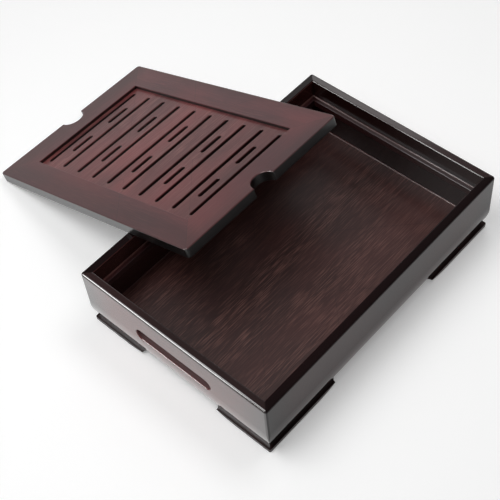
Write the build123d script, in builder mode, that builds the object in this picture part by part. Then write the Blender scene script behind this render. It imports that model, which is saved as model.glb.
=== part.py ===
from build123d import *
from math import copysign, cos, radians, sin
import os

os.makedirs("parts", exist_ok=True)

# A tea tray for pouring tea: a shallow lacquered box on four corner feet, which
# catches the water, and a slotted lid that belongs on a ledge inside it.
# The lid is off. Its low end stands on the table and its underside leans on the
# tray's left rim. Millimetres, +Z up, the table at z = 0. The tray's short side
# runs along X and its long side along Y.

# ---- tray: outer size
tray_width = 186.0
tray_length = 270.0
tray_height = 61.0
foot_height = 5.0

# ---- tray: walls
wall_thickness = 7.2
belly_inset = 6.2
belly_height = 23.0
tray_corner_radius = 2.2
rim_outer_radius = 2.0
rim_inner_radius = 1.0

# ---- tray: hand grip routed into each short wall
grip_length = 76.0
grip_height = 12.0
grip_depth = 5.2
grip_center_height = 34.5
grip_floor_radius = 3.7
grip_lip_radius = 0.7

# ---- tray: base board, held by a tongue in a groove of the walls
board_thickness = 5.0
board_tongue_depth = 2.0
board_tongue_thickness = 2.4
board_tongue_height = 2.2

# ---- tray: ledge that the lid sits on
ledge_width = 4.0
ledge_height = 6.0
ledge_below_rim = 17.0
ledge_edge_radius = 0.5

# ---- tray: corner feet, each of two mitred arms
foot_inset = 1.2
foot_strip_width = 14.0
foot_lip_height = 3.2
foot_lip_width = 0.8
foot_corner_radius = 1.5
foot_arm_long = 78.0
foot_arm_short = 57.0
foot_curve_length = 23.0
foot_tip_thickness = 0.8

# ---- lid
lid_clearance = 1.3
lid_thickness = 9.0
lid_corner_radius = 3.0
lid_edge_radius = 0.8
lid_rail_width = 26.0
lid_inner_edge_radius = 0.4
notch_radius = 10.5
notch_lip_radius = 1.0

# ---- lid: slotted panel, held by a tongue in a groove of the rails
panel_recess = 3.0
panel_thickness = 5.0
panel_tongue_depth = 4.5
panel_tongue_thickness = 3.0
panel_groove_slack = 0.5
slot_width = 4.0
slot_pitch = 21.1
slot_count = 10
slot_end_margin = 6.5
short_slot_length = 23.2
short_slot_offset = 21.3
slot_edge_radius = 0.4

# ---- angles, and how near two places have to be to count as the same one
half_turn = 180
quarter_turn = half_turn / 2
same_place = 0.01

# ---- how the lid leans
lid_tilt_deg = 20.0
lid_shift_y = -0.5
lean_gap = 0.1

# Sizes that follow from the ones above.
half_width = tray_width / 2
half_length = tray_length / 2
inner_half_width = half_width - wall_thickness
inner_half_length = half_length - wall_thickness
lid_length = 2 * (inner_half_length - lid_clearance)
lid_width = 2 * (inner_half_width - lid_clearance)
lid_half_length = lid_length / 2
lid_half_width = lid_width / 2

# The lid's low edge, rounded, stands on the table, and its underside clears the
# rounding of the left rim by the lean gap. Both contacts fix where the lid is.
# Here x is measured from the tray's left face.
tilt = radians(lid_tilt_deg)
underside_z = lid_edge_radius * (1 - sin(tilt) - cos(tilt))
rim_z = tray_height - rim_outer_radius
reach = rim_outer_radius + lean_gap + cos(tilt) * (rim_z - underside_z)
underside_x = rim_outer_radius - reach / sin(tilt)

# The lowest x of the whole object is on the rounding of the lid's low top edge.
low_edge_x = underside_x + lid_edge_radius * cos(tilt) - (lid_thickness - lid_edge_radius) * sin(tilt)
lowest_x = low_edge_x - lid_edge_radius

# The origin is under the middle of the whole object, leaning lid included.
tray_center_x = -(lowest_x + tray_width) / 2 + half_width
tray_left_x = tray_center_x - half_width

# The lid's panel lies below the rails' tops, with its tongue at half its thickness.
panel_low = lid_thickness - panel_recess - panel_thickness
panel_tongue_low = panel_low + (panel_thickness - panel_tongue_thickness) / 2
panel_length = lid_length - 2 * lid_rail_width
panel_width = lid_width - 2 * lid_rail_width
long_slot_length = panel_width - 2 * slot_end_margin

tray_base = Plane(origin=(tray_center_x, 0, 0), x_dir=(1, 0, 0), z_dir=(0, 0, 1))
lid_along = Vector(cos(tilt), 0, sin(tilt))
lid_normal = Vector(-sin(tilt), 0, cos(tilt))
lid_low_end = Vector(tray_left_x + underside_x, lid_shift_y, underside_z)
lid_base = Plane(origin=lid_low_end + lid_along * lid_half_length, x_dir=lid_along, z_dir=lid_normal)

# For each side of a rectangle, the way that points inward from it.
SIDES = {"left": (1, 0), "right": (-1, 0), "front": (0, 1), "back": (0, -1)}


def section_plane(base, half_x, half_y, side):
    """Plane square to one side of a rectangle, at the end where that side starts.

    Its x runs inward from the side and its y along the base plane's normal, so a
    section drawn on it and extruded by the side's length fills the whole side.
    """
    in_x, in_y = SIDES[side]
    run_x, run_y = in_y, -in_x
    start_x = -(in_x + run_x) * half_x
    start_y = -(in_y + run_y) * half_y
    origin = base.origin + base.x_dir * start_x + base.y_dir * start_y
    inward = base.x_dir * in_x + base.y_dir * in_y
    run = base.x_dir * run_x + base.y_dir * run_y
    return Plane(origin=origin, x_dir=inward, z_dir=run)


def depth_in(shape, section):
    """How far the middle of an edge or a face lies inward from a side, along its section plane's x."""
    return (shape.center() - section.origin).dot(section.x_dir)


def touches(shape, plane):
    """Whether the middle of an edge or a face lies on a plane."""
    return abs((shape.center() - plane.origin).dot(plane.z_dir)) < same_place


def side_length(half_x, half_y, side):
    """Length of one side of a rectangle."""
    return 2 * half_y if SIDES[side][0] else 2 * half_x


def mitred_outline(half_x, half_y, depth, side):
    """Corners of the strip along one side of a rectangle, cut at 45 degrees at both ends."""
    in_x, in_y = SIDES[side]
    corners = [
        (-half_x, -half_y),
        (half_x, -half_y),
        (half_x, half_y),
        (-half_x, half_y),
    ]
    first, second = [(x, y) for x, y in corners if x * in_x + y * in_y < 0]
    inner_first, inner_second = [(x - copysign(depth, x), y - copysign(depth, y)) for x, y in (first, second)]
    return [first, second, inner_second, inner_first]


def save(piece, name):
    """Label one finished piece and write it."""
    piece.part.label = name
    export_step(piece.part, f"parts/{name}.step")


# The walls: mitred boards with a rounded rim, whose lower outer edge curves in
# like a belly. The short walls have a long hand grip routed into them.


def make_wall(side):
    plan_depth = 2 * wall_thickness
    belly_top = foot_height + belly_height
    groove_low = foot_height + board_tongue_height
    groove_high = groove_low + board_tongue_thickness
    groove_bottom = wall_thickness - board_tongue_depth
    plane = section_plane(tray_base, half_width, half_length, side)
    with BuildPart() as wall:
        with BuildSketch(plane):
            with BuildLine():
                Line((0, tray_height), (0, belly_top))
                EllipticalCenterArc(
                    (belly_inset, belly_top),
                    belly_inset,
                    belly_height,
                    start_angle=half_turn,
                    arc_size=quarter_turn,
                )
                Polyline(
                    (belly_inset, foot_height),
                    (wall_thickness, foot_height),
                    (wall_thickness, groove_low),
                    (groove_bottom, groove_low),
                    (groove_bottom, groove_high),
                    (wall_thickness, groove_high),
                    (wall_thickness, tray_height),
                    (0, tray_height),
                )
            make_face()
        extrude(amount=side_length(half_width, half_length, side))
        with BuildSketch(tray_base):
            RectangleRounded(tray_width, tray_length, tray_corner_radius)
            with BuildLine(mode=Mode.PRIVATE) as strip:
                Polyline(*mitred_outline(half_width, half_length, plan_depth, side), close=True)
            make_face(strip.edges(), mode=Mode.INTERSECT)
        extrude(amount=tray_height, mode=Mode.INTERSECT)

        # The rim's outer edge, with its half of each rounded corner, then its inner edge.
        top_edges = wall.faces().sort_by(Axis.Z)[-1].edges()
        outward = plane.x_dir * -1
        straight = top_edges.filter_by(GeomType.LINE)
        rim_line = max(straight, key=lambda edge: edge.center().dot(outward))
        inner_middle = min(straight, key=lambda edge: edge.center().dot(outward)).center()
        rim_arcs = top_edges.filter_by(GeomType.CIRCLE)
        fillet([rim_line, *rim_arcs], rim_outer_radius)
        fillet(wall.edges().sort_by_distance(inner_middle)[0], rim_inner_radius)

        if side in ("front", "back"):
            face_middle = tray_base.origin + outward * half_length + Vector(0, 0, grip_center_height)
            face_plane = Plane(origin=face_middle, x_dir=plane.z_dir, z_dir=outward)
            with BuildSketch(face_plane):
                SlotOverall(grip_length, grip_height)
            extrude(amount=-grip_depth, mode=Mode.SUBTRACT)
            grip_floor = wall.faces().sort_by_distance(face_plane.offset(-grip_depth).origin)[0]
            fillet(grip_floor.edges(), grip_floor_radius)
            on_outside = wall.faces().filter_by(lambda face: touches(face, face_plane))
            grip_mouth = on_outside.sort_by(SortBy.AREA)[-1].inner_wires()[0]
            fillet(grip_mouth.edges(), grip_lip_radius)
    return wall


for side in SIDES:
    save(make_wall(side), f"wall_{side}")


# The base board, flush with the walls' bottoms, with a tongue all round.
with BuildPart() as base_board:
    with BuildSketch(tray_base.offset(foot_height)):
        Rectangle(2 * inner_half_width, 2 * inner_half_length)
    extrude(amount=board_thickness)
    with BuildSketch(tray_base.offset(foot_height + board_tongue_height)):
        Rectangle(
            2 * (inner_half_width + board_tongue_depth),
            2 * (inner_half_length + board_tongue_depth),
        )
    extrude(amount=board_tongue_thickness)

save(base_board, "base_board")


# The ledge: four thin strips glued to the inside of the walls, mitred at the corners.


def make_ledge(side):
    top = tray_height - ledge_below_rim
    plane = section_plane(tray_base, inner_half_width, inner_half_length, side)
    with BuildPart() as ledge:
        with BuildSketch(plane):
            with Locations((ledge_width / 2, top - ledge_height / 2)):
                Rectangle(ledge_width, ledge_height)
        extrude(amount=side_length(inner_half_width, inner_half_length, side))
        with BuildSketch(tray_base):
            outline = mitred_outline(inner_half_width, inner_half_length, 2 * ledge_width, side)
            with BuildLine():
                Polyline(*outline, close=True)
            make_face()
        extrude(amount=tray_height, mode=Mode.INTERSECT)
        long_edges = ledge.edges().filter_by(Axis(plane.origin, plane.z_dir))
        inner_edges = long_edges.sort_by(lambda edge: depth_in(edge, plane))[-2:]
        fillet(inner_edges.sort_by(Axis.Z)[-1], ledge_edge_radius)
    return ledge


for side in SIDES:
    save(make_ledge(side), f"ledge_{side}")


# The feet: at each corner two strips meet in a mitre. The strip has an upright
# lip with a flat top, behind which a hollow runs up and in under the wall. Its
# free end sweeps up to a thin tip.


def make_foot_arm(side, end):
    """The arm on one side of the tray, at that side's first (-1) or second (1) end."""
    half_x = half_width - foot_inset
    half_y = half_length - foot_inset
    in_x, in_y = SIDES[side]
    arm_length = (foot_arm_long if in_x else foot_arm_short) - foot_inset
    hollow_end = belly_inset - foot_inset
    curve_start = arm_length - foot_curve_length
    tip_low = foot_height - foot_tip_thickness
    plane = section_plane(tray_base, half_x, half_y, side)
    full = side_length(half_x, half_y, side)
    with BuildPart() as arm:
        with BuildSketch(plane):
            with BuildLine():
                Polyline((0, 0), (0, foot_lip_height), (foot_lip_width, foot_lip_height))
                TangentArc((foot_lip_width, foot_lip_height), (hollow_end, foot_height), tangent=(1, 0))
                Polyline(
                    (hollow_end, foot_height),
                    (foot_strip_width, foot_height),
                    (foot_strip_width, 0),
                    (0, 0),
                )
            make_face()
        extrude(amount=full)
        with BuildSketch(tray_base):
            RectangleRounded(2 * half_x, 2 * half_y, foot_corner_radius)
            with BuildLine(mode=Mode.PRIVATE) as strip:
                Polyline(*mitred_outline(half_x, half_y, 2 * foot_strip_width, side), close=True)
            make_face(strip.edges(), mode=Mode.INTERSECT)
        extrude(amount=foot_height, mode=Mode.INTERSECT)

        # Seen from the side: what is kept of the strip, from the corner to its tip.
        run_dir = Vector(in_y, -in_x, 0) * -end
        start = tray_base.origin + Vector(
            -in_x * half_x - run_dir.X * half_x,
            -in_y * half_y - run_dir.Y * half_y,
            0,
        )
        side_plane = Plane(origin=start, x_dir=run_dir, z_dir=run_dir.cross(Vector(0, 0, 1)))
        with BuildSketch(side_plane):
            with BuildLine():
                Polyline((0, foot_height), (0, 0), (curve_start, 0))
                TangentArc((curve_start, 0), (arm_length, tip_low), tangent=(1, 0))
                Polyline((arm_length, tip_low), (arm_length, foot_height), (0, foot_height))
            make_face()
        extrude(amount=foot_strip_width, both=True, mode=Mode.INTERSECT)
    return arm


# Which corners each side's arms reach: the first name is at the end that the
# side's strip starts from.
ARM_CORNERS = {
    "left": ("back_left", "front_left"),
    "right": ("front_right", "back_right"),
    "front": ("front_left", "front_right"),
    "back": ("back_right", "back_left"),
}

for side, (first, second) in ARM_CORNERS.items():
    reach_name = "long" if SIDES[side][0] else "short"
    save(make_foot_arm(side, -1), f"foot_{first}_{reach_name}_arm")
    save(make_foot_arm(side, 1), f"foot_{second}_{reach_name}_arm")


# The lid's frame: four flat rails mitred at the corners. The two end rails have a
# half-round finger notch.


def make_lid_rail(side):
    groove_depth = panel_tongue_depth + panel_groove_slack
    groove_middle = (lid_rail_width - groove_depth / 2, panel_tongue_low + panel_tongue_thickness / 2)
    is_end_rail = SIDES[side][0] != 0
    section = section_plane(lid_base, lid_half_length, lid_half_width, side)
    inner_face = section_plane(lid_base, panel_length / 2, panel_width / 2, side)
    with BuildPart() as rail:
        with BuildSketch(lid_base):
            RectangleRounded(lid_length, lid_width, lid_corner_radius)
            with BuildLine(mode=Mode.PRIVATE) as strip:
                Polyline(*mitred_outline(lid_half_length, lid_half_width, lid_rail_width, side), close=True)
            make_face(strip.edges(), mode=Mode.INTERSECT)
            if is_end_rail:
                with Locations((-SIDES[side][0] * lid_half_length, 0)):
                    Circle(notch_radius, mode=Mode.SUBTRACT)
        extrude(amount=lid_thickness)
        with BuildSketch(section):
            with Locations(groove_middle):
                Rectangle(groove_depth, panel_tongue_thickness)
        extrude(amount=side_length(lid_half_length, lid_half_width, side), mode=Mode.SUBTRACT)

        # The upright edges where the notch meets the outer face.
        if is_end_rail:
            outer_face = Plane(origin=section.origin, x_dir=section.z_dir, z_dir=section.x_dir)
            upright = rail.edges().filter_by(Axis(lid_base.origin, lid_base.z_dir))
            on_face = upright.filter_by(lambda edge: touches(edge, outer_face))
            face_middle = section.origin + section.z_dir * lid_half_width
            fillet(on_face.sort_by_distance(face_middle)[:2], notch_lip_radius)

        # Top and bottom, every edge of the outer outline has the same small rounding.
        # The mitred ends and the inner side stay sharp.
        def is_outline(edge):
            is_level = touches(edge, lid_base) or touches(edge, lid_base.offset(lid_thickness))
            is_inner = abs(depth_in(edge, inner_face)) < same_place
            is_straight = edge.geom_type == GeomType.LINE
            is_mitre = is_straight and abs((edge % 0.5).dot(section.z_dir)) < 1 - same_place
            return is_level and not is_inner and not is_mitre

        fillet(rail.edges().filter_by(is_outline), lid_edge_radius)

        # The inner top edge, above the panel.
        inner_length = side_length(panel_length / 2, panel_width / 2, side)
        inner_top = inner_face.origin + inner_face.z_dir * inner_length / 2 + lid_normal * lid_thickness
        fillet(rail.edges().sort_by_distance(inner_top)[0], lid_inner_edge_radius)
    return rail


LID_RAIL_NAMES = {
    "left": "lid_end_rail_low",
    "right": "lid_end_rail_high",
    "front": "lid_side_rail_front",
    "back": "lid_side_rail_back",
}

for side, name in LID_RAIL_NAMES.items():
    save(make_lid_rail(side), name)


# The lid's panel: ten long slots across it, and two short slots in every other bar.
# The slots' top edges are slightly rounded.
with BuildPart() as slotted_panel:
    with BuildSketch(lid_base.offset(panel_low)):
        Rectangle(panel_length, panel_width)
    extrude(amount=panel_thickness)
    with BuildSketch(lid_base.offset(panel_tongue_low)):
        Rectangle(panel_length + 2 * panel_tongue_depth, panel_width + 2 * panel_tongue_depth)
    extrude(amount=panel_tongue_thickness)
    with BuildSketch(lid_base.offset(panel_low)):
        with GridLocations(slot_pitch, 0, slot_count, 1):
            SlotOverall(long_slot_length, slot_width, rotation=quarter_turn)
        with GridLocations(2 * slot_pitch, 2 * short_slot_offset, slot_count // 2, 2):
            SlotOverall(short_slot_length, slot_width, rotation=quarter_turn)
    extrude(amount=panel_thickness, mode=Mode.SUBTRACT)
    panel_top = lid_base.offset(panel_low + panel_thickness)
    top_face = slotted_panel.faces().filter_by(lambda face: touches(face, panel_top))[0]
    fillet([edge for slot in top_face.inner_wires() for edge in slot.edges()], slot_edge_radius)

save(slotted_panel, "slotted_panel")

print("lid", round(lid_length, 3), "x", round(lid_width, 3), "low end at", lid_low_end)
print("tray centre x", round(tray_center_x, 4), "lowest x", round(lowest_x + tray_left_x, 4))
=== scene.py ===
# %% [markdown]
# # A tea tray with its lid leaning on the rim
#
# The tray and its lid arrive as finished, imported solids: real boards, at their
# real size, in metres. This script dresses them. It gives every board its
# stained and lacquered bamboo, runs the lacquer into the inside corners, sets
# the table and the studio round them, and puts the camera where the photograph
# was taken from.
#
# Nothing here moves or reshapes a board. A board's object sits at the origin
# and its place is in its mesh, so Object coordinates are the same as places in
# the room, and one grain pattern can be turned to suit every board.

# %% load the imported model
from math import cos, pi, radians, sin

import bmesh
import bpy
import numpy as np
from mathutils import Matrix, Vector


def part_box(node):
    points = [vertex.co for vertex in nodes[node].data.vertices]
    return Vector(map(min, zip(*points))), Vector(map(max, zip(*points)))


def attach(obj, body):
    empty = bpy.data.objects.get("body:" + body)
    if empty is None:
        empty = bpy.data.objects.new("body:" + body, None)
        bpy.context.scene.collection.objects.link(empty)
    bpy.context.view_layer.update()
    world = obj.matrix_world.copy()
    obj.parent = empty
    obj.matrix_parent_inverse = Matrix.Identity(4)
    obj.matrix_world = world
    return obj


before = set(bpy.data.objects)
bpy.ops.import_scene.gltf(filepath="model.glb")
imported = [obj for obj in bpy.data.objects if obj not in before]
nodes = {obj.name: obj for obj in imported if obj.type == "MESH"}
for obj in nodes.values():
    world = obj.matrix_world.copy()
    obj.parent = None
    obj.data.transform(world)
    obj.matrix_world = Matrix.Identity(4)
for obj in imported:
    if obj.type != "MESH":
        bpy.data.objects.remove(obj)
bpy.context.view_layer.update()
MM = 0.001

# %% [markdown]
# ## Where the tray and the lid are
#
# The lid lies tilted, with its low end on the table. Its grain runs along the
# lid and not along the table, so the pattern needs the lid's own directions.
# They could be typed in, but then they would be wrong as soon as the lid leans
# another way. The widest flat face of the slotted panel already knows them:
# its normal is the lid's upward direction, and the middle of the panel's box is
# the lid's centre.
#
# The tray's sizes come from its boards' boxes. The ledge's strips lie against
# the walls, so their outer faces are where the walls' inner faces are.

# %% read the lid's tilt and centre from its panel
NORMAL_DECIMALS = 2


def widest_normal(obj):
    """Normal of the widest upward face of a mesh: the largest sum of triangle areas that share one normal."""
    mesh = obj.data
    normals = np.empty(len(mesh.polygons) * 3, np.float32)
    mesh.polygons.foreach_get("normal", normals)
    areas = np.empty(len(mesh.polygons), np.float32)
    mesh.polygons.foreach_get("area", areas)
    normals = normals.reshape(-1, 3)
    keys, group = np.unique(np.round(normals, NORMAL_DECIMALS), axis=0, return_inverse=True)
    totals = np.bincount(group.ravel(), weights=areas) * (keys[:, 2] > 0)
    chosen = group.ravel() == totals.argmax()
    return Vector((normals[chosen] * areas[chosen, None]).sum(axis=0).tolist()).normalized()


lid_up = widest_normal(nodes["slotted_panel"])
lid_tilt = float(np.arctan2(-lid_up.x, lid_up.z))
panel_low, panel_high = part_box("slotted_panel")
lid_centre = (panel_low + panel_high) / 2
print("lid tilt in degrees:", round(lid_tilt * 180 / pi, 2), "centre:", [round(v, 4) for v in lid_centre])

# %% read the tray's centre and its sizes from its boards
wall_low = Vector((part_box("wall_left")[0].x, *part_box("wall_front")[0].yz))
wall_high = Vector((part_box("wall_right")[1].x, *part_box("wall_back")[1].yz))
tray_centre = (wall_low + wall_high) / 2
wall_half = (wall_high - wall_low) / 2
ledge_low, ledge_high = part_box("ledge_left")[0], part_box("ledge_right")[1]
inner_half = (ledge_high - ledge_low) / 2
wall_thickness = wall_half.x - inner_half.x
print("tray centre:", [round(v, 4) for v in tray_centre], "wall in mm:", round(wall_thickness / MM, 2))

# %% [markdown]
# ## Colours and nodes
#
# Colours are written the way they are read off a screen, as sRGB hex values,
# because that is how an eye compares them. Blender's shaders work in linear
# light, so one function converts them.
#
# A material is a small graph. One function adds a node, sets its options and
# its inputs, and links an input when the value given for it is another node's
# output. That keeps a material's code as short as its description.

# %% one function for colours, one for nodes
def linear(hex_value):
    """sRGB hex to linear RGBA by the standard curve: ((c + 0.055) / 1.055) ** 2.4, after a straight start."""
    channels = [int(hex_value[i : i + 2], 16) / 255 for i in (1, 3, 5)]
    return [c / 12.92 if c <= 0.04045 else ((c + 0.055) / 1.055) ** 2.4 for c in channels] + [1.0]


def add_node(tree, kind, settings=None, inputs=None):
    """Add one node, set its options, and give its inputs a value or a link from another node's output."""
    node = tree.nodes.new(kind)
    for name, value in (settings or {}).items():
        setattr(node, name, value)
    for name, value in (inputs or {}).items():
        if isinstance(value, bpy.types.NodeSocket):
            tree.links.new(value, node.inputs[name])
        else:
            node.inputs[name].default_value = value
    return node


print("linear white:", linear("#ffffff"), "linear mahogany:", [round(c, 3) for c in linear("#4a2220")])

# %% [markdown]
# ## Bamboo: strips and fibres
#
# The boards are pressed bamboo: strips under two centimetres wide, full of
# fibres that run the whole length of a strip. A dark mahogany stain soaks in
# unevenly, so each strip has its own tone, slow clouds of redder and browner
# colour cross the board, and some fibres stay lighter than the rest.
#
# Noise stretched along the grain makes the fibres: it has far fewer cycles
# along the board than across it. A wood texture from a picture would repeat and
# would need unwrapping. A noise is worked out at each point in space, so it
# never repeats, and a Mapping node turns it to each board.

# %% the grain, in real sizes
# Each size is a length and a width. A real fibre is 0.3 mm wide, and is drawn coarser so that it shows.
FIBRE_SIZE = (17 * MM, 0.7 * MM)
FLECK_SIZE = (130 * MM, 22 * MM)   # a group of light fibres
CLOUD_SIZE = (120 * MM, 55 * MM)
FIBRE_EDGES, FLECK_EDGES, CLOUD_EDGES = (0.46, 0.68), (0.38, 0.62), (0.35, 0.65)
FIBRE_DETAIL, FLECK_DETAIL, CLOUD_DETAIL = 3.0, 1.0, 2.0
BETWEEN_FLECKS = 0.35              # how much of the light fibres shows outside the flecks


def stretched_noise(tree, place, size, detail, edges, amounts=(0.0, 1.0)):
    """A noise with one cycle per size along and across the board, and the amount of pattern that it makes.

    The amount goes smoothly from one of amounts to the other, where the noise goes from edge to edge.
    """
    length, width = size
    scaled = add_node(tree, "ShaderNodeMapping", {},
                      {"Vector": place, "Scale": (1 / length, 1 / width, 1 / width)})
    noise = add_node(tree, "ShaderNodeTexNoise", {"noise_dimensions": "3D"},
                     {"Vector": scaled.outputs["Vector"], "Scale": 1.0, "Detail": detail}).outputs["Fac"]
    amount = add_node(tree, "ShaderNodeMapRange", {"interpolation_type": "SMOOTHSTEP"},
                      {"Value": noise, "From Min": edges[0], "From Max": edges[1],
                       "To Min": amounts[0], "To Max": amounts[1]}).outputs["Result"]
    return noise, amount


print("fibres to the centimetre:", round(10 * MM / FIBRE_SIZE[1], 1))

# %% the tone of each strip
STRIP_WIDTH = 17 * MM
STRIP_DARKEST = 0.18               # how far the darkest strip is mixed towards the colour below
STRIP_BLACK = "#0c0505"


def strip_tone(tree, across):
    """How dark a strip is: its number, counted across the board, picks it at random."""
    number = add_node(tree, "ShaderNodeMath", {"operation": "DIVIDE"}, {0: across, 1: STRIP_WIDTH})
    number = add_node(tree, "ShaderNodeMath", {"operation": "FLOOR"}, {0: number.outputs[0]})
    draw = add_node(tree, "ShaderNodeTexWhiteNoise", {"noise_dimensions": "1D"}, {"W": number.outputs[0]})
    return add_node(tree, "ShaderNodeMapRange", {},
                    {"Value": draw.outputs["Value"], "To Max": STRIP_DARKEST}).outputs["Result"]


print("strips across the tray:", round(2 * wall_half.x / STRIP_WIDTH, 1))

# %% [markdown]
# ## Mitres, black spray and patches
#
# Both the tray and the lid are frames, mitred at their corners, and a mitre
# shows as a hair-fine dark glue line. The lid fits the tray with the same gap
# all round, so both frames are longer than wide by the same amount, and one
# number places all eight lines.
#
# Black lacquer is sprayed over the stain along the outline, as on a guitar. It
# lies thick on the walls' rims and on the tray's upright corners, and thinly on
# the lid. The bottom of the hand grip and the inner faces of the walls have a
# polish of their own, because a spray gun and a polishing pad hardly reach them,
# and a colour of their own that is painted light: the grip's bottom and the short
# walls' inner faces are darker, as painted shade, and the long walls' inner faces
# are a dark red, as a painted glow. The sides of the slots and of the rails are
# black, as painted shade.
#
# Each of these is an amount between 0 and 1 at a point of the board, measured
# from the board's own centre, and a colour that is mixed in by that amount.

# %% where the mitres, the spray and the patches are
SEAM_WIDTH = 0.35 * MM
SEAM_DARKEST = 0.6
FRAME_MARGIN = 42 * MM             # a frame's half length less its half width
PATCH_SOFT = 0.6 * MM              # over how far a patch passes into the rest


def mitre_line(tree, along, across):
    """How dark the glue line is. It runs where the distance along less the distance across is the margin."""
    far_along = add_node(tree, "ShaderNodeMath", {"operation": "ABSOLUTE"}, {0: along})
    far_across = add_node(tree, "ShaderNodeMath", {"operation": "ABSOLUTE"}, {0: across})
    off = add_node(tree, "ShaderNodeMath", {"operation": "SUBTRACT"},
                   {0: far_along.outputs[0], 1: far_across.outputs[0]})
    off = add_node(tree, "ShaderNodeMath", {"operation": "ABSOLUTE"}, {0: off.outputs[0]})
    off = add_node(tree, "ShaderNodeMath", {"operation": "SUBTRACT"}, {0: off.outputs[0], 1: FRAME_MARGIN})
    off = add_node(tree, "ShaderNodeMath", {"operation": "ABSOLUTE"}, {0: off.outputs[0]})
    return add_node(tree, "ShaderNodeMapRange", {"interpolation_type": "SMOOTHSTEP"},
                    {"Value": off.outputs[0], "From Min": 0.0, "From Max": SEAM_WIDTH,
                     "To Min": SEAM_DARKEST, "To Max": 0.0}).outputs["Result"]


def spray_amount(tree, measures, outline, thickest):
    """How thick the black spray lies: thickest at the outline, and none a reach in from it.

    The outline is given for each direction that has one, as its middle, its half size and the spray's reach.
    A point goes by the direction in which it is nearest to the outline, counted in reaches.
    """
    nearest = None
    for direction, middle, half, reach in outline:
        away = add_node(tree, "ShaderNodeMath", {"operation": "SUBTRACT"},
                        {0: measures[direction], 1: middle})
        away = add_node(tree, "ShaderNodeMath", {"operation": "ABSOLUTE"}, {0: away.outputs[0]})
        left = add_node(tree, "ShaderNodeMath", {"operation": "SUBTRACT"}, {0: half, 1: away.outputs[0]})
        left = add_node(tree, "ShaderNodeMath", {"operation": "DIVIDE"}, {0: left.outputs[0], 1: reach})
        nearest = left if nearest is None else add_node(tree, "ShaderNodeMath", {"operation": "MINIMUM"},
                                                        {0: nearest.outputs[0], 1: left.outputs[0]})
    return add_node(tree, "ShaderNodeMapRange", {"interpolation_type": "SMOOTHSTEP"},
                    {"Value": nearest.outputs[0], "To Min": thickest, "To Max": 0.0}).outputs["Result"]


def inside_patch(tree, measures, limits):
    """1 in a patch and 0 outside. In each direction it is a band, on both sides of the centre.

    A band is given as the distance from the centre to its middle, and its half width.
    """
    inside = None
    for direction, distance, half in limits:
        away = add_node(tree, "ShaderNodeMath", {"operation": "ABSOLUTE"}, {0: measures[direction]})
        away = add_node(tree, "ShaderNodeMath", {"operation": "SUBTRACT"}, {0: away.outputs[0], 1: distance})
        away = add_node(tree, "ShaderNodeMath", {"operation": "ABSOLUTE"}, {0: away.outputs[0]})
        near = add_node(tree, "ShaderNodeMapRange", {"interpolation_type": "SMOOTHSTEP"},
                        {"Value": away.outputs[0], "From Min": half - PATCH_SOFT, "From Max": half,
                         "To Min": 1.0, "To Max": 0.0})
        inside = near if inside is None else add_node(tree, "ShaderNodeMath", {"operation": "MULTIPLY"},
                                                      {0: inside.outputs[0], 1: near.outputs[0]})
    return inside.outputs[0]


print("mitre lines where along less across is, in mm:", round(FRAME_MARGIN / MM))

# %% [markdown]
# ## Lacquer over it all
#
# Over the stain lies clear lacquer, which is what the eye meets first: at a
# glancing angle it mirrors the table, and straight on it lets the stain glow
# through. The Principled shader has a socket for it, the coat, with a roughness
# of its own above the roughness of the stained wood.
#
# The colour is built like the real board, from the wood up: a stain, and then
# one layer after another, each mixed in by its own amount.

# %% the material of every board
LACQUER_IOR = 1.5
FIBRE_RELIEF = dict(Strength=0.3, Distance=0.02 * MM)
SPRAY_BLACK = "#120a0b"
SEAM_AND_PAINTED_SHADE_BLACK = "#050303"              # in the glue lines, and as painted shade on the sides of the slots and the boards
PAINTED_SHADE_SOFT = 0.8 * MM


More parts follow.
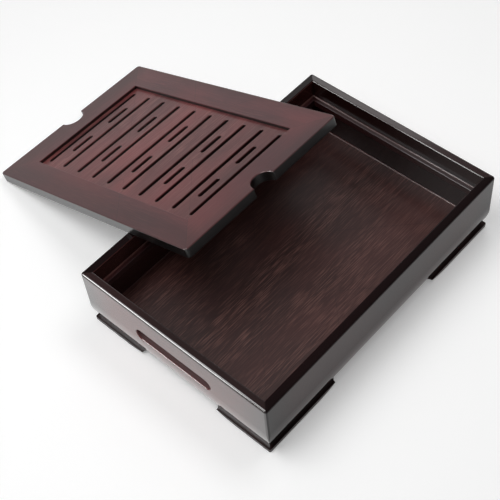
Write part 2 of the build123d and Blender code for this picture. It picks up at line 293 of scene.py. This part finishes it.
def lacquered_bamboo(name, turn, centre, stain, cloud, fibre, fibre_amount, satin, coat, coat_satin,
                     shine=0.5, outline=(), spray=0.9, patches=(), painted_shade_below=None):
    """A stained board under lacquer, with its grain along X once Object coordinates are turned and centred.

    Directions are 0 along the grain, 1 across it and 2 up from the board.
    satin is the wood's roughness, coat and coat_satin are the lacquer's amount and roughness.
    spray is how much of the stain the black spray hides at the outline.
    Each patch has limits, a colour, and a coat and a satin of its own.
    The last argument is the height above the board's centre under which everything is black, as painted shade
    on the side faces.
    """
    material = bpy.data.materials.new(name)
    material.use_nodes = True
    tree = material.node_tree
    shader = tree.nodes["Principled BSDF"]

    # A Mapping node turns a point about the world's origin and then shifts it.
    turned_centre = Matrix.Rotation(turn[2], 3, "Z") @ Matrix.Rotation(turn[1], 3, "Y") @ centre
    place = add_node(tree, "ShaderNodeTexCoord").outputs["Object"]
    place = add_node(tree, "ShaderNodeMapping", {},
                     {"Vector": place, "Rotation": turn, "Location": -turned_centre}).outputs["Vector"]
    measures = along, across, height = add_node(tree, "ShaderNodeSeparateXYZ", {}, {"Vector": place}).outputs

    clouds = stretched_noise(tree, place, CLOUD_SIZE, CLOUD_DETAIL, CLOUD_EDGES)[1]
    flecks = stretched_noise(tree, place, FLECK_SIZE, FLECK_DETAIL, FLECK_EDGES,
                             (BETWEEN_FLECKS * fibre_amount, fibre_amount))[1]
    fibre_noise, fibres = stretched_noise(tree, place, FIBRE_SIZE, FIBRE_DETAIL, FIBRE_EDGES)
    fibres = add_node(tree, "ShaderNodeMath", {"operation": "MULTIPLY"}, {0: fibres, 1: flecks}).outputs[0]
    layers = [(clouds, cloud), (strip_tone(tree, across), STRIP_BLACK), (fibres, fibre)]
    if outline:
        layers.append((spray_amount(tree, measures, outline, spray), SPRAY_BLACK))
    # Below the given height a board is black: painted shade on the side faces of its slots and edges.
    if painted_shade_below is not None:
        painted_shade_mask = add_node(tree, "ShaderNodeMapRange", {"interpolation_type": "SMOOTHSTEP"},
                        {"Value": height, "From Min": painted_shade_below - PAINTED_SHADE_SOFT, "From Max": painted_shade_below,
                         "To Min": 1.0, "To Max": 0.0})
        layers.append((painted_shade_mask.outputs["Result"], SEAM_AND_PAINTED_SHADE_BLACK))
    layers.append((mitre_line(tree, along, across), SEAM_AND_PAINTED_SHADE_BLACK))

    coat_here, satin_here = coat, satin
    for patch in patches:
        inside = inside_patch(tree, measures, patch["limits"])
        layers.append((inside, patch["colour"]))
        coat_here = add_node(tree, "ShaderNodeMix", {"data_type": "FLOAT"},
                             {0: inside, 2: coat_here, 3: patch["coat"]}).outputs[0]
        satin_here = add_node(tree, "ShaderNodeMix", {"data_type": "FLOAT"},
                              {0: inside, 2: satin_here, 3: patch["satin"]}).outputs[0]

    board = linear(stain)
    for amount, colour in layers:
        board = add_node(tree, "ShaderNodeMix", {"data_type": "RGBA"},
                         {0: amount, 6: board, 7: linear(colour)}).outputs[2]
    relief = add_node(tree, "ShaderNodeBump", {}, {"Height": fibre_noise, **FIBRE_RELIEF})

    shader.inputs["IOR"].default_value = LACQUER_IOR
    shader.inputs["Specular IOR Level"].default_value = shine
    shader.inputs["Coat Roughness"].default_value = coat_satin
    shader.inputs["Coat IOR"].default_value = LACQUER_IOR
    shader.inputs["Coat Weight"].default_value = coat
    shader.inputs["Roughness"].default_value = satin
    if patches:
        tree.links.new(coat_here, shader.inputs["Coat Weight"])
        tree.links.new(satin_here, shader.inputs["Roughness"])
    tree.links.new(board, shader.inputs["Base Color"])
    tree.links.new(relief.outputs["Normal"], shader.inputs["Normal"])
    print(name, "nodes:", len(tree.nodes))
    return material


# How a board's own directions lie in the room: the turn that brings its grain to X.
ALONG_X = (0.0, 0.0, 0.0)
ALONG_Y = (0.0, 0.0, -pi / 2)
LID_ALONG = (0.0, lid_tilt, 0.0)
LID_ACROSS = (0.0, lid_tilt, -pi / 2)

# %% [markdown]
# ## The tray's finishes
#
# All boards are the same bamboo under the same lacquer, but they have had more
# or less of the stain, the spray and the polish. The walls' stains also carry
# painted light: the short walls' is lighter, as painted light, and the long
# walls' darker, as painted shade. On the walls the spray covers the rim and the
# lowest edge, and it fades out over a few centimetres from each upright corner.
#
# Two places on the walls differ from the rest: the bottom of the hand grip, and
# the inner faces. Each is a patch, found by how far it lies from the tray's
# middle. Their colours are painted light: painted shade in the grip and on the
# short walls' inner faces, and a painted red glow on the long walls' inner faces.

# %% spray and patches on the walls
RIM_REACH = 5 * MM
CORNER_REACH = 34 * MM
wall_outline_x = ((0, 0.0, wall_half.x, CORNER_REACH), (2, 0.0, wall_half.z, RIM_REACH))
wall_outline_y = ((0, 0.0, wall_half.y, CORNER_REACH), (2, 0.0, wall_half.z, RIM_REACH))

# The grip's bottom lies 5.2 mm in. Its patch starts below the lip and ends inside the wood behind the bottom.
GRIP_START, GRIP_END = 0.7 * MM, 6.5 * MM
GRIP_HALF_HEIGHT = 9 * MM
grip_limits = ((1, wall_half.y - (GRIP_START + GRIP_END) / 2, (GRIP_END - GRIP_START) / 2),
               (2, 0.0, GRIP_HALF_HEIGHT))
# The grip's bottom is coloured darker and greyer than the wall, as painted shade, and is matt.
grip_patch_painted_shade = dict(limits=grip_limits, colour="#5c3c3c", coat=0.0, satin=0.9)

INSIDE_SKIN = 0.7 * MM             # how far the patch goes to each side of the inner face
# The short walls' inner faces are nearly black, as painted shade, and the long walls' inner faces a dark red,
# as a painted glow.
inside_x_painted_shade = dict(limits=((1, inner_half.y, INSIDE_SKIN),), colour="#1c0a09", coat=0.6, satin=0.22)
inside_y_painted_glow = dict(limits=((1, inner_half.x, INSIDE_SKIN),), colour="#3a1a18", coat=0.5, satin=0.22)
print("grip patch from", GRIP_START / MM, "to", GRIP_END / MM, "mm in from the wall's face")

# %% the tray's six finishes
# Polished lacquer over a red stain, made lighter as painted light: it mirrors the pale table, so the short
# walls look grey from above.
short_wall_painted_light = dict(stain="#7c4240", cloud="#62322f", fibre="#8c5a56", fibre_amount=0.25,
                  satin=0.14, coat=0.8, coat_satin=0.06)
# Thin smooth lacquer over a stain made nearly black as painted shade: the long walls are dark from most
# sides, with a soft gleam.
long_wall_painted_shade = dict(stain="#331615", cloud="#241010", fibre="#4a2624", fibre_amount=0.25,
                 satin=0.12, coat=0.0, coat_satin=0.06, shine=0.2)
# Wet-looking lacquer on dark strips: sharp lines of light on a nearly black ledge.
ledge = dict(stain="#2c1213", cloud="#1f0d0e", fibre="#4e2a28", fibre_amount=0.3,
             satin=0.3, coat=0.4, coat_satin=0.06)
# Rubbed lacquer on the widest board: the light fibres show as streaks, and reflections are only a soft veil.
floor = dict(stain="#3c1f1d", cloud="#2a1413", fibre="#8a6058", fibre_amount=0.42,
             satin=0.45, coat=0.15, coat_satin=0.2)
# Plain black-brown lacquer with no clear coat: the feet show as dark shapes, with light only on their edges.
foot = dict(stain="#2a1415", cloud="#1e0e0f", fibre="#38201f", fibre_amount=0.2,
            satin=0.3, coat=0.0, coat_satin=0.3, shine=0.35)
# Clear lacquer that has run into a corner: a thin line, coloured lighter than the boards that it joins as a
# painted highlight.
bead = dict(stain="#56302c", cloud="#3e201e", fibre="#7a5850", fibre_amount=0.3,
            satin=0.3, coat=0.6, coat_satin=0.1)
materials = {
    "wall_x": lacquered_bamboo("gloss_lacquer_across_painted_light_and_shade", ALONG_X, tray_centre, **short_wall_painted_light,
                               outline=wall_outline_x, patches=(grip_patch_painted_shade, inside_x_painted_shade)),
    "wall_y": lacquered_bamboo("satin_lacquer_along_painted_light_and_shade", ALONG_Y, tray_centre, **long_wall_painted_shade,
                               outline=wall_outline_y, patches=(inside_y_painted_glow,)),
    "floor": lacquered_bamboo("floor_lacquer", ALONG_Y, tray_centre, **floor),
    "ledge_x": lacquered_bamboo("ledge_lacquer_across", ALONG_X, tray_centre, **ledge),
    "ledge_y": lacquered_bamboo("ledge_lacquer_along", ALONG_Y, tray_centre, **ledge),
    "bead": lacquered_bamboo("bead_lacquer_painted_highlight", ALONG_Y, tray_centre, **bead),
    "foot": lacquered_bamboo("foot_lacquer", ALONG_Y, tray_centre, **foot),
}

# %% [markdown]
# ## The lid's finishes
#
# The lid is satin: its reflections are wide and soft, so its stain shows best.
# Its spray is thin, and reaches further in at the front and at the low end. The
# panel has its own, thickest at the high end. Side faces are black, as painted
# shade, and they are simply everything that lies lower than the top of its own
# board.

# %% spray on the lid, and its three materials
LID_HALF_LENGTH, LID_HALF_WIDTH = 126.5 * MM, 84.5 * MM
LID_REACH = 24 * MM
SHIFT_TO_HIGH_END, SHIFT_TO_BACK = 6 * MM, 8 * MM
lid_outline_along = ((0, SHIFT_TO_HIGH_END, LID_HALF_LENGTH, LID_REACH),
                     (1, SHIFT_TO_BACK, LID_HALF_WIDTH, LID_REACH))
lid_outline_across = ((0, SHIFT_TO_BACK, LID_HALF_WIDTH, LID_REACH),
                      (1, -SHIFT_TO_HIGH_END, LID_HALF_LENGTH, LID_REACH))
PANEL_REACH = 75 * MM
PANEL_SHIFT_TO_LOW_END = 26 * MM
panel_outline = ((1, PANEL_SHIFT_TO_LOW_END, LID_HALF_LENGTH, PANEL_REACH),)

# Both are heights above the middle of the panel's thickness, a little below each board's top face. Below them
# a board is black, as painted shade on its side faces.
PANEL_TOP, RAIL_TOP = 2.0 * MM, 5.2 * MM

# Satin lacquer over a plum-brown stain: the rails show wide, soft reflections, and are darker at the outline.
rail = dict(stain="#622a2c", cloud="#4c2327", fibre="#824844", fibre_amount=0.3,
            satin=0.35, coat=0.6, coat_satin=0.12, spray=0.45, painted_shade_below=RAIL_TOP)
# The same lacquer over a redder stain: the bars between the slots look warmer than the frame round them.
panel = dict(stain="#76393a", cloud="#562b2c", fibre="#a4706a", fibre_amount=0.4,
             satin=0.35, coat=0.6, coat_satin=0.12, spray=0.5, painted_shade_below=PANEL_TOP)
materials["rail_x"] = lacquered_bamboo("rail_lacquer_along", LID_ALONG, lid_centre, **rail,
                                       outline=lid_outline_along)
materials["rail_y"] = lacquered_bamboo("rail_lacquer_across", LID_ACROSS, lid_centre, **rail,
                                       outline=lid_outline_across)
materials["panel"] = lacquered_bamboo("panel_lacquer", LID_ACROSS, lid_centre, **panel,
                                      outline=panel_outline)

# %% give each board its finish
# The first row whose start fits a board's name gives its finish.
FINISHES = (
    ("wall_left", "wall_y"), ("wall_right", "wall_y"), ("wall", "wall_x"),
    ("ledge_left", "ledge_y"), ("ledge_right", "ledge_y"), ("ledge", "ledge_x"),
    ("foot", "foot"), ("base_board", "floor"),
    ("lid_end_rail", "rail_y"), ("lid_side_rail", "rail_x"), ("slotted_panel", "panel"),
)
for node, obj in nodes.items():
    finish = next(finish for start, finish in FINISHES if node.startswith(start))
    for slot in obj.material_slots:
        slot.material = materials[finish]
    print(node, "is", materials[finish].name)

# %% [markdown]
# ## Lacquer in the inside corners
#
# Lacquer runs before it dries, and surface tension pulls it into every inside
# corner. Where the ledge's top and the floor meet the walls it leaves a thin
# hollow bead, and the eye sees it as a fine line of light round the tray.
#
# It could be drawn as a light line in the material, but then it would glow from
# every side. A real bead only shines where it mirrors a lamp, so this is a real
# surface: a small profile with a hollow front, carried round the tray's inside.
# Its colour is still lighter than the boards', as a painted highlight.

# %% a surface from three grids
WELD = 1e-6


def surface(name, x, y, z):
    """A mesh from three equal grids of coordinates, where each cell between grid points is one face.

    Where the last row or column repeats the first, the seam between them is welded shut.
    """
    rows, columns = x.shape
    first = (np.arange(rows - 1)[:, None] * columns + np.arange(columns - 1)).ravel()
    faces = np.stack([first, first + 1, first + columns + 1, first + columns], axis=1)
    mesh = bpy.data.meshes.new(name)
    mesh.from_pydata(np.stack([x, y, z], axis=-1).reshape(-1, 3).tolist(), [], faces.tolist())
    welded = bmesh.new()
    welded.from_mesh(mesh)
    bmesh.ops.remove_doubles(welded, verts=welded.verts, dist=WELD)
    welded.to_mesh(mesh)
    obj = bpy.data.objects.new(name, mesh)
    bpy.context.scene.collection.objects.link(obj)
    open_edges = sum(edge.is_boundary for edge in welded.edges)
    print(name, "faces:", len(mesh.polygons), "open edges:", open_edges,
          "volume in cubic mm:", round(welded.calc_volume(signed=True) / MM**3, 1))
    welded.free()
    return obj


# %% beads on the ledge's top and on the floor
BEAD_RADIUS = 1.0 * MM
BEAD_SUNK = 0.1 * MM               # how far its flat sides reach into the boards
BEAD_STEPS = 9
SHARP_FROM = radians(40)


def lacquer_bead(name, height):
    """A bead along the walls' inner faces at one height.

    Its section is a corner filled up to a quarter circle whose centre stands off both boards by the radius.
    A point of the section that lies d inward from the walls is carried round a rectangle that is d smaller.
    """
    arc = np.linspace(-pi / 2, -pi, BEAD_STEPS)
    inward = np.concatenate([BEAD_RADIUS * (1 + np.cos(arc)), [-BEAD_SUNK, -BEAD_SUNK, BEAD_RADIUS]])
    upward = np.concatenate([BEAD_RADIUS * (1 + np.sin(arc)), [BEAD_RADIUS, -BEAD_SUNK, -BEAD_SUNK]])
    inward, upward = np.append(inward, inward[0]), np.append(upward, upward[0])
    corner_x, corner_y = np.array([1, -1, -1, 1, 1]), np.array([-1, -1, 1, 1, -1])
    x = tray_centre.x + corner_x * (inner_half.x - inward[:, None])
    y = tray_centre.y + corner_y * (inner_half.y - inward[:, None])
    z = height + np.repeat(upward[:, None], len(corner_x), axis=1)
    ring = surface(name, x, y, z)
    ring.data.shade_smooth()
    ring.data.set_sharp_from_angle(angle=SHARP_FROM)
    ring.data.materials.append(materials["bead"])
    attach(ring, "tray")


lacquer_bead("lacquer_bead_ledge", ledge_high.z)
lacquer_bead("lacquer_bead_floor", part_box("base_board")[1].z)

# %% [markdown]
# ## The table and the paper round it
#
# The object stands on white studio paper. Behind the lid the paper rises to a
# tall backdrop, because the lid's lacquer looks that way and mirrors it. All
# round it only has a lip, which hides the room from a camera near the table.
# The room above stays dark, and draws a thin dark line along the rim's rounding.
#
# The wall is a profile carried round a circle. At each angle its height is a
# low one plus a smooth hill, so that one formula gives both the lip and the
# tall backdrop.

# %% matt white paper
PAPER_WHITE = "#efefef"


def studio_paper(name, shown_white):
    """Matt paper. What the camera or a reflection sees of it is lifted towards white; its light isn't."""
    material = bpy.data.materials.new(name)
    material.use_nodes = True
    tree = material.node_tree
    shader = tree.nodes["Principled BSDF"]
    shader.inputs["Base Color"].default_value = linear(PAPER_WHITE)
    shader.inputs["Roughness"].default_value = 1.0
    shader.inputs["Specular IOR Level"].default_value = 0.0
    shader.inputs["Emission Color"].default_value = linear("#ffffff")
    path = add_node(tree, "ShaderNodeLightPath").outputs
    seen = add_node(tree, "ShaderNodeMath", {"operation": "MAXIMUM"},
                    {0: path["Is Camera Ray"], 1: path["Is Glossy Ray"]})
    seen = add_node(tree, "ShaderNodeMath", {"operation": "MAXIMUM"},
                    {0: seen.outputs[0], 1: path["Is Transmission Ray"]})
    lift = add_node(tree, "ShaderNodeMath", {"operation": "MULTIPLY"}, {0: seen.outputs[0], 1: shown_white})
    tree.links.new(lift.outputs[0], shader.inputs["Emission Strength"])
    return material


table_paper = studio_paper("table_paper", shown_white=0.24)
wall_paper = studio_paper("wall_paper", shown_white=0.2)
print("paper:", table_paper.name, wall_paper.name)

# %% the table and the wall round it
TABLE_REACH = 1.7
TABLE_STEPS = 9
reach = np.linspace(-TABLE_REACH, TABLE_REACH, TABLE_STEPS)
table_x, table_y = np.meshgrid(reach, reach)
table = surface("table", table_x, table_y, np.zeros_like(table_x))
table.data.materials.append(table_paper)

LIP_HEIGHT, HILL_HEIGHT = 0.26, 0.7
HILL_AT, HILL_SPREAD = radians(158), radians(34)
WALL_STEPS_ROUND, WALL_STEPS_UP = 97, 9
bearing, rise = np.meshgrid(np.linspace(2 * pi, 0, WALL_STEPS_ROUND), np.linspace(0, 1, WALL_STEPS_UP))
from_hill = np.abs((bearing - HILL_AT + pi) % (2 * pi) - pi)
top = LIP_HEIGHT + HILL_HEIGHT * np.exp(-((from_hill / HILL_SPREAD) ** 2))
wall = surface("paper_wall", TABLE_REACH * np.cos(bearing), TABLE_REACH * np.sin(bearing), top * rise)
wall.data.materials.append(wall_paper)
print("paper wall from", LIP_HEIGHT, "to", round(float(top.max()), 2), "m high")

# %% [markdown]
# ## Light
#
# Four softboxes light the set. The front one hangs high and throws the short soft
# shadow, and the one above the far corner fills that shadow, so that the paper
# stays pale close to the tray. It doesn't show in reflections, which keeps the
# tray's floor and its right rim dark.
#
# The edge softbox stands low in front. Its only work is the thin white line along
# the rounded rim, so it lights nothing by itself and is only seen mirrored. The
# rim softbox behind the lid gives the far rims their grey sheen. The room above is
# nearly dark, so that the near rims stay dark.

# %% softboxes
def softbox(name, azimuth, elevation, distance, width, height, radiance):
    """A soft lamp on a line from the tray's middle, turned to face it.

    Its power is radiance times area times pi.
    The azimuth and the elevation are in degrees, from +X towards +Y and from the table up.
    """
    azimuth, elevation = radians(azimuth), radians(elevation)
    light = bpy.data.lights.new(name, "AREA")
    light.shape = "RECTANGLE"
    light.size, light.size_y = width, height
    light.energy = radiance * width * height * pi
    lamp = bpy.data.objects.new(name, light)
    bpy.context.scene.collection.objects.link(lamp)
    line = Vector((cos(elevation) * cos(azimuth), cos(elevation) * sin(azimuth), sin(elevation)))
    lamp.location = tray_centre + line * distance
    lamp.rotation_euler = line.to_track_quat("Z", "Y").to_euler()
    lamp.visible_camera = False
    print(name, "power:", round(light.energy, 2))
    return lamp


edge_softbox = softbox("edge_softbox", azimuth=240, elevation=27, distance=0.9,
                       width=0.36, height=0.40, radiance=15.0)
edge_softbox.visible_diffuse = False
softbox("front_softbox", azimuth=238, elevation=66, distance=1.1, width=0.75, height=0.60, radiance=5.2)
back_softbox = softbox("back_softbox", azimuth=80, elevation=68, distance=1.1,
                       width=0.60, height=0.40, radiance=3.8)
back_softbox.visible_glossy = False
softbox("rim_softbox", azimuth=131, elevation=39, distance=1.6, width=0.80, height=0.40, radiance=1.2)

# %% the dim room
ROOM_STRENGTH = 0.15
room = bpy.data.worlds.new("dim_room")
bpy.context.scene.world = room
room.use_nodes = True
room.node_tree.nodes["Background"].inputs["Color"].default_value = linear("#ffffff")
room.node_tree.nodes["Background"].inputs["Strength"].default_value = ROOM_STRENGTH
bpy.context.scene.view_settings.view_transform = "Standard"

# %% [markdown]
# ## The camera
#
# The photograph was taken from above the tray's right front corner with a
# longish lens, and rolled a little. Its place came from fitting the tray's and
# the lid's edges in the photograph to the solids' real edges.

# %% camera at the photograph's place
LENS_MM, SENSOR_MM = 81.56, 36.0
CAMERA_PLACE = Vector((0.4542, -0.3894, 0.7376))
LOOKS_AT = Vector((0.0428, -0.0066, 0.0))
CAMERA_ROLL = radians(-6.49)
NEAREST, FARTHEST = 0.05, 20.0
camera_data = bpy.data.cameras.new("camera")
camera_data.lens, camera_data.sensor_width = LENS_MM, SENSOR_MM
camera_data.clip_start, camera_data.clip_end = NEAREST, FARTHEST
camera = bpy.data.objects.new("camera", camera_data)
bpy.context.scene.collection.objects.link(camera)
aim = (CAMERA_PLACE - LOOKS_AT).to_track_quat("Z", "Y").to_matrix().to_4x4()
camera.matrix_world = Matrix.Translation(CAMERA_PLACE) @ aim @ Matrix.Rotation(CAMERA_ROLL, 4, "Z")
bpy.context.scene.camera = camera
print("camera at", [round(c, 3) for c in CAMERA_PLACE], "lens", LENS_MM)
